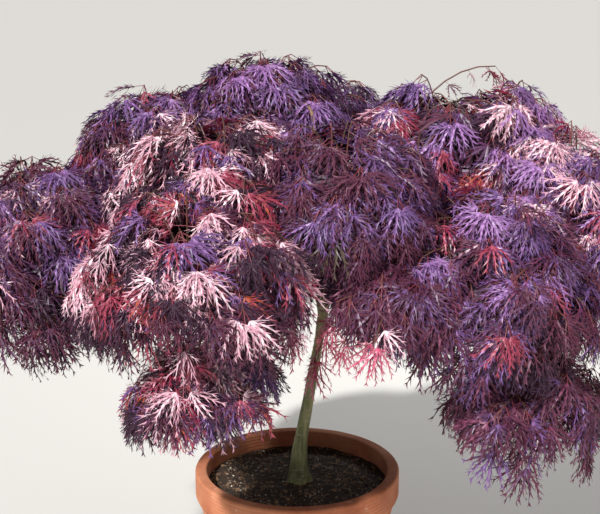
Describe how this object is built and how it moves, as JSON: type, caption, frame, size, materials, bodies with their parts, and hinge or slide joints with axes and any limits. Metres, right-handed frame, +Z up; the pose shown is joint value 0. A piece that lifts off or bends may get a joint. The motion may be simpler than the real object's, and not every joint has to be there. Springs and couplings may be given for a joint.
{
  "type": "potted japanese maple",
  "caption": "Weeping laceleaf maple with a broad dome of finely cut purple-red leaves on one slim leaning trunk, in a plain round clay pot.",
  "frame": {"origin": "middle of the pot's flat underside, on the ground", "axes": "+Z up along the pot; -Y is the front, the side the picture was taken from; +X is the viewer's right and the crown's widest direction"},
  "size_m": [1.3535, 1.1839, 1.2111],
  "materials": {
    "clay": "matte unglazed terracotta",
    "compost": "moist dark potting compost",
    "bark": "smooth olive-green bark, reddish brown on the boughs",
    "foliage": "thin semi-gloss leaves, violet to plum with crimson and pale pink tints"
  },
  "bodies": {
    "root": {"pot": "clay", "compost": "compost", "trunk": "bark", "bough_crown_top": "bark", "bough_side_left": "bark", "bough_side_right": "bark", "bough_front_left": "bark", "bough_front_right": "bark", "bough_back_middle": "bark", "bough_back_left": "bark", "bough_back_right": "bark", "bough_shoulder_left": "bark", "bough_shoulder_right": "bark", "bough_shoulder_back": "bark", "bough_front_upper": "bark", "bough_front_middle": "bark", "bough_front_skirt": "bark", "bough_front_low": "bark", "bough_right_skirt": "bark", "bough_flank_left": "bark", "bough_flank_right": "bark", "mass_crown_top": "foliage", "mass_side_left": "foliage", "mass_side_right": "foliage", "mass_front_left": "foliage", "mass_front_right": "foliage", "mass_back_middle": "foliage", "mass_back_left": "foliage", "mass_back_right": "foliage", "mass_shoulder_left": "foliage", "mass_shoulder_right": "foliage", "mass_shoulder_back": "foliage", "mass_front_upper": "foliage", "mass_front_middle": "foliage", "mass_front_skirt": "foliage", "mass_front_low": "foliage", "mass_right_skirt": "foliage", "mass_flank_left": "foliage", "mass_flank_right": "foliage"}
  },
  "joints": []
}
